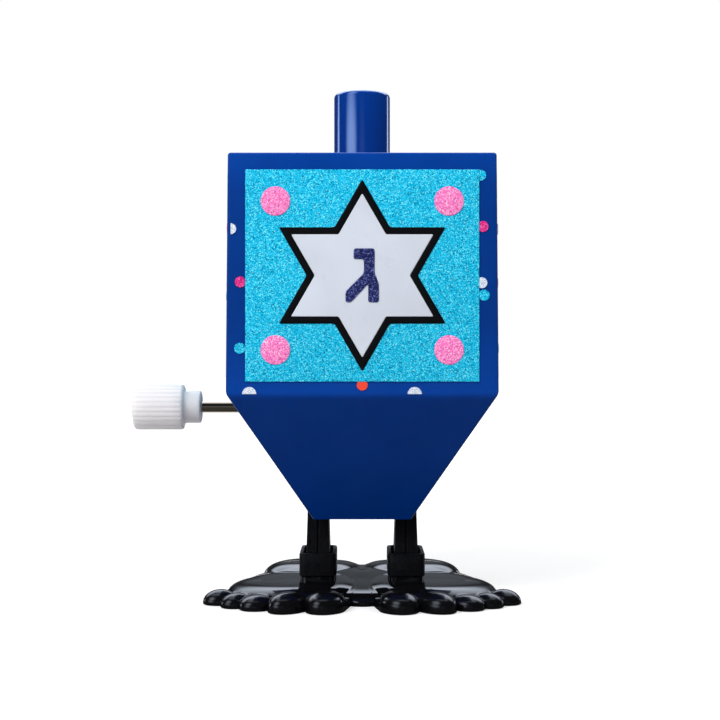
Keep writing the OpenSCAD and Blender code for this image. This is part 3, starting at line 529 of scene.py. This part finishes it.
def prism(levels):
    """A square solid: levels are (half width, z)."""
    return solid([[(-h, -h, z), (h, -h, z), (h, h, z), (-h, h, z)] for h, z in levels])


def block(x0, x1, y0, y1, z0, z1):
    return solid([[(x0, y0, z), (x1, y0, z), (x1, y1, z), (x0, y1, z)] for z in (z0, z1)])


def bar(p, q, radius, steps=48):
    """A round bar from p to q."""
    p, q = Vector(p), Vector(q)
    turn = (q - p).to_track_quat("Z", "Y").to_matrix()
    ring = [turn @ Vector((radius * math.cos(a), radius * math.sin(a), 0))
            for a in (2 * math.pi * i / steps for i in range(steps))]
    return solid([[p + v for v in ring], [q + v for v in ring]])


def combined(base, *steps):
    """Applies booleans to a mesh: steps are (operation, mesh)."""
    made = []

    def as_object(bm):
        mesh = bpy.data.meshes.new("work")
        bm.to_mesh(mesh)
        bm.free()
        obj = bpy.data.objects.new("work", mesh)
        bpy.context.scene.collection.objects.link(obj)
        made.append(obj)
        return obj

    obj = as_object(base)
    for operation, other in steps:
        mod = obj.modifiers.new("cut", "BOOLEAN")
        mod.operation, mod.solver = operation, "EXACT"
        mod.object = as_object(other)
    bpy.context.view_layer.update()
    result = bmesh.new()
    result.from_mesh(obj.evaluated_get(bpy.context.evaluated_depsgraph_get()).to_mesh())
    for o in made:
        mesh = o.data
        bpy.data.objects.remove(o)
        bpy.data.meshes.remove(mesh)
    return result


def lathe(profile, steps, turn=None, ribs=None):
    """Turns a closed half section of (radius, height) round Z.

    ribs(angle, radius, height) may change the radius.
    """
    bm = bmesh.new()
    rows = []
    for i in range(steps):
        a = 2 * math.pi * i / steps
        row = []
        for r, z in profile:
            ribbed = ribs(a, r, z) if ribs else r
            row.append(bm.verts.new((ribbed * math.cos(a), ribbed * math.sin(a), z)))
        rows.append(row)
    for i in range(steps):
        a, b = rows[i], rows[(i + 1) % steps]
        for k in range(len(profile) - 1):
            bm.faces.new((a[k], b[k], b[k + 1], a[k + 1]))
    bmesh.ops.remove_doubles(bm, verts=bm.verts, dist=1e-6)
    bmesh.ops.dissolve_degenerate(bm, dist=1e-6, edges=bm.edges)
    if turn:
        bm.transform(turn)
    return bm


def corner(x, y, radius, start, end, steps=5):
    """Points of a rounded corner about (x, y), by angles in degrees."""
    angles = [math.radians(start + (end - start) * i / steps) for i in range(steps + 1)]
    return [(x + radius * math.cos(a), y + radius * math.sin(a)) for a in angles]


# Body

EDGE_ROUND = 0.45
# Half width of the slot for the legs and of the hollow at the slot's top
SLOT_HALF, SLOT_TOP_HALF = 5.46, 9.5
SHAFT_BORE, STEM_BORE = 1.3, 3.55
# Half gap between the two shells, and a length that reaches past the body
SPLIT, PAST = 0.05, 30
# Screw posts: distance from the wall, heights and radius
POST_INSET, POST_HEIGHTS, POST_R = 3.0, (39.8, 68.0), 1.8
# Ribs that hold the motor's case: middle, half thickness, lower and upper end
RIB_X, RIB_HALF, RIB_LOW, RIB_HIGH = 6.45, 0.55, 36.5, 57.5
REAR_RIB_EDGE, FRONT_RIB_EDGE = 14.0, 11.0
STEM_R, STEM_TOP, STEM_ROUND = 4.75, 85.4, 0.7
FLANGE_R, FLANGE_LOW, NECK_R = 6, 69.4, 3.5
DIMPLE_R, DIMPLE_EDGE_R, DIMPLE_DEPTH = 1.2, 1.4, 0.08


def outer_body():
    bm = prism([(TIP_HALF, TIP_Z), (FOLD_HALF, FOLD_Z), (TOP_HALF, TOP_Z)])
    edges = [e for e in bm.edges if max(v.co.z for v in e.verts) > TIP_Z + 1]
    bmesh.ops.bevel(bm, geom=edges, offset=EDGE_ROUND, segments=4, profile=0.5, affect="EDGES",
                    clamp_overlap=True)
    return bm


def shell(name, side, node):
    """One half of the body: hollow, slotted below for the legs, with posts and ribs inside."""
    out, under = FOLD_HALF + 0.7, TIP_Z - 1
    slot_top = TIP_Z + (SLOT_TOP_HALF - INNER_TIP) / INNER_RUN
    wall_mid = INNER_TOP + WALL / 2
    post_x = INNER_TOP - POST_INSET
    ceiling = TOP_Z - WALL
    hollow = prism([(INNER_TIP - INNER_RUN, under), (INNER_FOLD, FOLD_Z), (INNER_TOP, ceiling)])
    steps = [
        ("DIFFERENCE", hollow),
        ("DIFFERENCE", block(-out, out, -SLOT_HALF, SLOT_HALF, under, slot_top)),
        ("DIFFERENCE", bar((-out, 0, SHAFT_Z), (-7, 0, SHAFT_Z), SHAFT_BORE)),
        ("DIFFERENCE", bar((0, 0, ceiling - 1), (0, 0, TOP_Z + 1), STEM_BORE)),
        ("INTERSECT", block(-PAST, PAST, *sorted((side * SPLIT, side * PAST)), 0, 90)),
    ]
    for x in (-post_x, post_x):
        for z in POST_HEIGHTS:
            steps.append(("UNION", bar((x, side * SPLIT, z), (x, side * wall_mid, z), POST_R)))
    edge = REAR_RIB_EDGE if side > 0 else FRONT_RIB_EDGE
    depth = sorted((side * edge, side * wall_mid))
    for x in (-RIB_X, RIB_X):
        steps.append(("UNION", block(x - RIB_HALF, x + RIB_HALF, *depth, RIB_LOW, RIB_HIGH)))
    return piece(name, combined(outer_body(), *steps), "body", "body_blue", [node], 30)


def make_stem():
    """The peg, with a neck in the body's top and a flange under it."""
    ceiling = TOP_Z - WALL
    profile = [(0, FLANGE_LOW), (FLANGE_R, FLANGE_LOW), (FLANGE_R, ceiling), (NECK_R, ceiling),
               (NECK_R, TOP_Z), (STEM_R, TOP_Z)]
    profile += corner(STEM_R - STEM_ROUND, STEM_TOP - STEM_ROUND, STEM_ROUND, 0, 90, 8)
    low = STEM_TOP - DIMPLE_DEPTH
    profile += [(DIMPLE_EDGE_R, STEM_TOP), (DIMPLE_R, low), (0, low)]
    piece("stem_peg", lathe(profile, 96), "body", "stem_blue", ["stem"], 35)


shell("front_body", -1, "front_shell")
shell("rear_body", 1, "rear_shell")
make_stem()


# Prints

PANEL_MID = PANEL_RISE + PANEL_H / 2
PRINT_ROUND = 0.1
# Rounding of the star's points outside and inside its border
STAR_SOFT, STAR_INNER_SOFT = 0.35, 0.25
PANEL_SEED = 11
# Shares of a letter's height: width of its strokes, height of the gimel's heel, gap in the
# hei and rounding of the corners
STROKE, HEEL, GAP, LETTER_SOFT = 0.2, 0.34, 0.14, 0.05
# Keeps the points of sharp corners from moving far when an outline is drawn in
MITRE_LIMIT = 0.35
# A side's length over the most that the rounding of one of its corners takes
SIDE_SHARE = 2.2
# Least step along a glitter sheet's edge, depth of its unevenness, part of a step that its
# points slip along it, and how near to the edge a point counts as on it
EDGE_STEP, EDGE_DEPTH, SLIP, ON_EDGE = 0.35, 0.05, 0.2, 0.01


def face_matrix(n):
    """Places a drawing on a side of the box: 0 front, 1 right, 2 back, 3 left."""
    return (Matrix.Rotation(math.radians(90 * n), 4, "Z")
            @ Matrix.Translation((0, -FOLD_HALF, FOLD_Z))
            @ Matrix.Rotation(math.radians(90) - LEAN, 4, "X"))


def signed_area(points):
    return sum(p[0] * q[1] - q[0] * p[1] for p, q in zip(points, points[1:] + points[:1])) / 2


def inset(points, d):
    """Moves a closed line's points inwards, to its left, by d."""
    out = []
    for i, p in enumerate(points):
        a, b = Vector(points[i - 1]), Vector(points[(i + 1) % len(points)])
        p = Vector(p)
        u, v = (p - a).normalized(), (b - p).normalized()
        m, n = Vector((-u.y, u.x)), Vector((-v.y, v.x))
        out.append(tuple(p + (m + n) * d / max(MITRE_LIMIT, 1 + m.dot(n))))
    return out


def softened(points, radius, steps=4):
    """Rounds a polygon's corners, each over less than half of its sides."""
    out = []
    for i, p in enumerate(points):
        a, p, b = Vector(points[i - 1]), Vector(p), Vector(points[(i + 1) % len(points)])
        cut = min(radius, (a - p).length / SIDE_SHARE, (b - p).length / SIDE_SHARE)
        s, e = p + (a - p).normalized() * cut, p + (b - p).normalized() * cut
        for k in range(steps + 1):
            t = k / steps
            out.append(tuple(s * (1 - t) ** 2 + p * 2 * t * (1 - t) + e * t * t))
    return out


def raised(bm, loops, low, high, steps=3):
    """A flat print with a rounded upper edge; the first loop is its outline and the others are holes."""
    tops, bottoms = [], []
    for k, loop in enumerate(loops):
        loop = list(loop)
        if (signed_area(loop) > 0) != (k == 0):
            loop.reverse()
        rings = [[(x, y, low) for x, y in loop]]
        for s in range(steps + 1):
            a = math.pi / 2 * s / steps
            line = inset(loop, PRINT_ROUND * (1 - math.cos(a)))
            rings.append([(x, y, high - PRINT_ROUND * (1 - math.sin(a))) for x, y in line])
        verts = [[bm.verts.new(p) for p in ring] for ring in rings]
        join_rings(bm, verts)
        n = len(loop)
        for ring, edges in ((verts[0], bottoms), (verts[-1], tops)):
            edges += [bm.edges.get((ring[i], ring[(i + 1) % n])) for i in range(n)]
    for edges in (bottoms, tops):
        bmesh.ops.triangle_fill(bm, use_beauty=True, edges=edges)


def rough_rectangle(w, h, y0, seed):
    """A rectangle whose edge is a little uneven, as glitter ink leaves it."""
    rng = random.Random(seed)
    corners = [(-w / 2, y0), (w / 2, y0), (w / 2, y0 + h), (-w / 2, y0 + h)]
    mid_y = y0 + h / 2
    out = []
    for a, b in zip(corners, corners[1:] + corners[:1]):
        a, b = Vector(a), Vector(b)
        n = int((b - a).length / EDGE_STEP)
        for i in range(n):
            p = a.lerp(b, (i + SLIP * (i > 0) * rng.random()) / n)
            pull = rng.random() * EDGE_DEPTH
            p.x -= math.copysign(pull, p.x) * (abs(p.x) > w / 2 - ON_EDGE)
            p.y -= math.copysign(pull, p.y - mid_y) * (abs(p.y - mid_y) > h / 2 - ON_EDGE)
            out.append(tuple(p))
    return out


def star(d):
    """A six-pointed star, d from point to point."""
    points = []
    for i in range(12):
        r = d / 2 if i % 2 == 0 else d / 2 / math.sqrt(3)
        a = math.radians(30 * i)
        points.append((r * math.sin(a), r * math.cos(a)))
    return points


def circle(x, y, d, steps=40):
    angles = [2 * math.pi * i / steps for i in range(steps)]
    return [(x + d / 2 * math.cos(a), y + d / 2 * math.sin(a)) for a in angles]


def print_piece(name, shapes, slot, node, face=0, level=0):
    """A print on a face's panel, drawn about the panel's middle; level counts the prints under it."""
    bm = bmesh.new()
    low = PANEL_T + level * PRINT_T
    for loops in shapes:
        raised(bm, [[(x, y + PANEL_MID) for x, y in loop] for loop in loops], low, low + PRINT_T)
    return piece(name, bm, "body", slot, [node], 50, face_matrix(face))


def letter(shapes, width, height):
    """Scales a letter drawn one high, and puts its middle at the origin."""
    sized = [[((x - width / 2) * height, (y - 0.5) * height) for x, y in loop] for loop in shapes]
    return [[softened(loop, LETTER_SOFT * height)] for loop in sized]


def gimel():
    s, w, head, back = STROKE, 0.62, 0.15, 0.54
    return letter([[(head, 1 - s), (back - s, 1 - s), (back - s, HEEL + s), (0, s), (0, 0), (s / 2, 0),
                    (w - s, HEEL), (w - s, 0), (w, 0), (w, HEEL), (back, HEEL + s), (back, 1), (head, 1)]],
                  w, FRONT_LETTER_H)


def nun():
    s, w = STROKE, 0.6
    shape = [(0, 0), (w, 0), (w, 1), (s, 1), (s, 1 - s), (w - s, 1 - s), (w - s, s), (0, s)]
    return letter([shape], w, LETTER_H)


def hei():
    s, w = STROKE, 0.86
    return letter([[(0, 1), (0, 1 - s), (w - s, 1 - s), (w - s, 0), (w, 0), (w, 1)],
                   [(0, 0), (s, 0), (s, 1 - s - GAP), (0, 1 - s - GAP)]], w, LETTER_H)


def shin():
    s, w = STROKE, 1.04
    m = w / 2
    return letter([[(0, 1), (0, 0), (w, 0), (w, 1), (w - s, 1), (w - s, s), (m + s / 2, s), (m + s / 2, 1),
                    (m - s / 2, 1), (m - s / 2, s), (s, s), (s, 1)]], w, LETTER_H)


for n, side in enumerate(("front", "right", "back", "left")):
    sheet = bmesh.new()
    raised(sheet, [rough_rectangle(PANEL_W, PANEL_H, PANEL_RISE, PANEL_SEED + n)], 0, PANEL_T)
    piece("glitter_" + side, sheet, "body", "glitter_cyan", ["panel_" + side], 60, face_matrix(n))

star_inner = softened(star(STAR_D - 4 * STAR_BORDER), STAR_INNER_SOFT)
print_piece("star_white", [[star_inner]], "print_white", "star_print")
star_outer = softened(star(STAR_D), STAR_SOFT)
print_piece("star_black", [[star_outer, star_inner]], "print_black", "star_border")
spots = [[circle(sx * SPOT_SHARES[0] * PANEL_W / 2, sy * SPOT_SHARES[1] * PANEL_H / 2, SPOT_D)]
         for sx in (-1, 1) for sy in (-1, 1)]
print_piece("corner_dots", spots, "print_pink", "corner_spots")
print_piece("gimel", gimel(), "print_navy", "letter_gimel", level=1)
print_piece("nun", nun(), "print_navy", "letter_nun", face=1)
print_piece("shin", shin(), "print_navy", "letter_shin", face=2)
print_piece("hei", hei(), "print_navy", "letter_hei", face=3)


# Winding knob

GRIP_LEN, GRIP_R, RIBS, RIB_DEPTH, RIB_CORE = 8.5, 3.9, 28, 0.2, 3.2
NECK_LEN, KNOB_NECK_R, FILLET = 2.9, 2.75, 0.15
OUTER_ROUND, INNER_ROUND, NECK_ROUND = 0.6, 0.5, 0.3
BORE_R, BORE_END = 1.01, 1.5
# A shallow hollow in the outer end
KNOB_END = [(0, 0.12), (1.1, 0.12), (1.25, 0.0), (3.0, 0.0)]
# How narrow a groove between ribs is: a lower number makes it narrower
GROOVE_POWER = 0.45
KNOB_REACH = 38.8


def rib(angle, radius, z):
    """The grip's radius between and on its ribs."""
    if z > GRIP_LEN - 0.02 or radius < RIB_CORE:  # its inner face and middle stay plain
        return radius
    wave = (1 - math.cos(angle * RIBS)) / 2
    valley = 1 - wave ** GROOVE_POWER
    share = min(1, (radius - RIB_CORE) / OUTER_ROUND)
    return radius - RIB_DEPTH * valley * share


def make_knob():
    """The knob in its own frame: z runs from the outer end towards the body."""
    length = GRIP_LEN + NECK_LEN
    plain = GRIP_LEN - OUTER_ROUND - INNER_ROUND
    profile = KNOB_END + corner(GRIP_R - OUTER_ROUND, OUTER_ROUND, OUTER_ROUND, -90, 0, 6)
    profile += [(GRIP_R, OUTER_ROUND + plain * i / 8) for i in range(1, 8)]
    profile += corner(GRIP_R - INNER_ROUND, GRIP_LEN - INNER_ROUND, INNER_ROUND, 0, 90, 6)
    profile += [(KNOB_NECK_R + FILLET, GRIP_LEN), (KNOB_NECK_R, GRIP_LEN + FILLET)]
    profile += corner(KNOB_NECK_R - NECK_ROUND, length - NECK_ROUND, NECK_ROUND, 0, 90, 4)
    profile += [(BORE_R, length), (BORE_R, BORE_END), (0, BORE_END)]
    turn = Matrix.Translation((-KNOB_REACH, 0, SHAFT_Z)) @ Matrix.Rotation(math.radians(90), 4, "Y")
    grip = lathe(profile, RIBS * 10, turn, rib)
    piece("knob_grip", grip, "winder", "knob_white", ["winding_knob"], 50)


make_knob()


# Legs and pallet keep their solids, with modifiers

for node in ("leg_left", "leg_right"):
    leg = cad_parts[node]
    weld = leg.modifiers.new("weld", "WELD")
    weld.merge_threshold = 1e-6
    bevel = leg.modifiers.new("edges", "BEVEL")
    bevel.width, bevel.segments = 0.1 * MM, 2
    bevel.limit_method, bevel.angle_limit = "ANGLE", math.radians(40)
    bevel.use_clamp_overlap = True

# The solid's pins reach the escape wheel's teeth at the ends of the pallet's swing, so the
# pallet is drawn slimmer
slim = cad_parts["pallet"].modifiers.new("slim", "DISPLACE")
slim.direction, slim.mid_level, slim.strength = "NORMAL", 0.0, -0.26 * MM


# Feet

TOE_REACH, HEEL_REACH, TOE_H, BALL_H, SOLE_T = 27.8, 21.2, 3.3, 3.3, 0.4
# For each toe from the big one outwards: angle, distance of its tip, half sizes and height
# as shares, power
TOE_ANGLES = (20.7, 37.2, 51.0, 60.0, 69.5)
TOE_TIPS = (0.744, 0.843, 0.894, 0.944, 0.999)
TOE_WIDTHS = (0.113, 0.097, 0.094, 0.079, 0.083)
TOE_LENGTHS = (0.144, 0.129, 0.112, 0.097, 0.104)
TOE_HEIGHTS = (0.985, 0.939, 0.712, 0.697, 0.727)
TOE_POWERS = (1.2, 1.3, 1.6, 1.8, 2)
# Ball, heel, instep and web: middle and half sizes as shares of a reach, height, power and
# rise to the back
BALL = ((0.432, -0.122, 0.385, 0.388), TOE_REACH, BALL_H, 1.5, 0)
HEEL_LOBE = ((0.425, 0.613, 0.42, 0.392), HEEL_REACH, 1.22 * BALL_H, 1.7, 0)
INSTEP = ((0.453, 0.217, 0.519, 0.425), HEEL_REACH, 0.8 * BALL_H, 1.4, 0.35)
WEB = ((0.0, 0.189, 0.34, 0.75), HEEL_REACH, 0.88 * BALL_H, 1.7, 0.25)
# Domes of the plate and of the toes: a higher number makes a flatter middle
PLATE_FLATNESS, TOE_FLATNESS = 2, 1
# Round marks that the mould's pins leave: middle and radius
MARKS = ((-14.6, -6.2, 2.6), (14.6, -5.2, 2.6), (-12.8, 12.4, 2.3), (13.0, 12.2, 2.3))
MARK_DEPTH, MARK_WIDTH = 0.015, 0.3
# Steps round the feet before and behind the origin, and rings from the rim to the middle
FRONT_STEPS, BACK_STEPS, RINGS = 380, 150, 84
# Over 1, the rings crowd towards the rim
RING_POWER = 1.8
# The rim's lower edge: share of the outline under it, and its height
SOLE_SHARE, RIM_LOW = 0.99, 0.15
# Shares of the outline at which rings run under the sole
SOLE_RINGS = (0.8, 0.5)
LEG_X = 7.4
# Width, depth, rounding and height of the rings that make a collar and the boss under it
BOSS = ((5.9, 11.2, 1.0, 1.0), (5.7, 11.0, 1.0, 1.8), (5.7, 11.0, 1.0, 4.05))
COLLAR = (
    (4.2, 9.2, 0.2, 3.9), (5.8, 11.1, 0.95, 3.9), (6.2, 11.5, 1.0, 4.1), (6.2, 11.5, 1.0, 4.3),
    (6.2, 11.5, 1.0, 7.6), (5.9, 11.2, 0.9, 7.8), (5.0, 10.3, 0.7, 7.8), (4.8, 10.1, 0.65, 7.6),
    (4.8, 10.1, 0.65, 4.4), (4.2, 9.4, 0.3, 4.4),
)


# A lobe is its middle, half sizes, turn, height, power and rise to the back

def toe_lobes():
    toes = list(zip(TOE_ANGLES, TOE_TIPS, TOE_WIDTHS, TOE_LENGTHS, TOE_HEIGHTS, TOE_POWERS))
    out = []
    for side in (-1, 1):
        for a, tip, w, l, h, power in toes:
            a, ry = math.radians(a), l * TOE_REACH
            reach = tip * TOE_REACH - ry
            middle = (side * reach * math.sin(a), -reach * math.cos(a))
            out.append((middle, (w * TOE_REACH, ry), side * a, h * TOE_H, power, 0))
    return out


def plate_lobe(lobe, side):
    (x, y, rx, ry), reach, *rest = lobe
    return (side * x * reach, y * reach), (rx * reach, ry * reach), 0, *rest


def plate_lobes():
    pairs = [plate_lobe(lobe, side) for side in (-1, 1) for lobe in (BALL, HEEL_LOBE, INSTEP)]
    return pairs + [plate_lobe(WEB, 1)]


TOES, PLATE = toe_lobes(), plate_lobes()


def in_lobe(lobe, x, y):
    """A point in a lobe's own axes, where its outline is one from the middle."""
    (mx, my), (rx, ry), turn = lobe[:3]
    dx, dy, c, s = x - mx, y - my, math.cos(turn), math.sin(turn)
    return (dx * c + dy * s) / rx, (-dx * s + dy * c) / ry


def lobe_exit(lobe, u):
    """How far from the origin a ray along u leaves a lobe, or 0 where it misses."""
    ox, oy = in_lobe(lobe, 0, 0)
    ex, ey = in_lobe(lobe, *u)
    ex, ey = ex - ox, ey - oy
    e2 = ex * ex + ey * ey
    b = (ox * ex + oy * ey) / e2
    root = b * b - (ox * ox + oy * oy - 1) / e2
    return math.sqrt(root) - b if root > 0 else 0


def dome4(lobe, x, y, flatness):
    """Height of a lobe over the sole, to the fourth power, which lets domes blend."""
    qx, qy = in_lobe(lobe, x, y)
    h, power, rise = lobe[3:]
    fall = max(0.0, 1 - (qx * qx + qy * qy) ** flatness) ** power
    return ((h - SOLE_T) * (1 + rise * qy)) ** 4 * fall


def top_height(x, y):
    plate = sum(dome4(lobe, x, y, PLATE_FLATNESS) for lobe in PLATE) ** 0.25
    toe = max(dome4(lobe, x, y, TOE_FLATNESS) for lobe in TOES) ** 0.25
    z = SOLE_T + max(plate, toe)
    for mx, my, r in MARKS:
        z -= MARK_DEPTH * math.exp(-((math.hypot(x - mx, y - my) - r) / MARK_WIDTH) ** 2)
    return z


def make_foot():
    """Rings that follow the feet's outline, from the sole's rim up over the top and back under the sole."""
    angles = [math.pi + math.pi * i / FRONT_STEPS for i in range(FRONT_STEPS)]
    angles += [math.pi * i / BACK_STEPS for i in range(BACK_STEPS)]
    dirs = [(math.cos(a), math.sin(a)) for a in angles]
    rim = [max(lobe_exit(lobe, u) for lobe in TOES + PLATE) for u in dirs]
    bm = bmesh.new()

    def ring(share, height):
        points = [(u[0] * r * share, u[1] * r * share) for u, r in zip(dirs, rim)]
        return [bm.verts.new((x, y, height(x, y))) for x, y in points]

    def level(z):
        return lambda x, y: z

    def fan(edge, middle):
        for i, v in enumerate(edge):
            bm.faces.new((v, edge[(i + 1) % len(edge)], middle))

    top = [ring(SOLE_SHARE, level(0)), ring(1.0, level(RIM_LOW)), ring(1.0, level(SOLE_T))]
    top += [ring(1 - (k / RINGS) ** RING_POWER, top_height) for k in range(1, RINGS)]
    join_rings(bm, top)
    fan(top[-1], bm.verts.new((0, 0, top_height(0, 0))))
    sole = [top[0]] + [ring(share, level(0)) for share in SOLE_RINGS]
    join_rings(bm, sole[::-1])
    fan(sole[-1], bm.verts.new((0, 0, 0)))
    piece("foot_plate", bm, "feet", "foot_black", ["foot_base"], 60)


def rounded_rectangle(w, d, r, z):
    out = []
    for sx, sy, start in ((1, 1, 0), (-1, 1, 90), (-1, -1, 180), (1, -1, 270)):
        out += corner(sx * (w / 2 - r), sy * (d / 2 - r), r, start, start + 90)
    return [(x, y, z) for x, y in out]


def make_collars():
    for name, side in (("left", -1), ("right", 1)):
        place = Matrix.Translation((side * LEG_X, 0, 0))
        for kind, rings, slot in (("boss_", BOSS, "foot_black"), ("collar_", COLLAR, "leg_black")):
            bm = solid([rounded_rectangle(*ring) for ring in rings])
            piece(kind + name, bm, "feet", slot, ["foot_base"], 40, place)


make_foot()
make_collars()
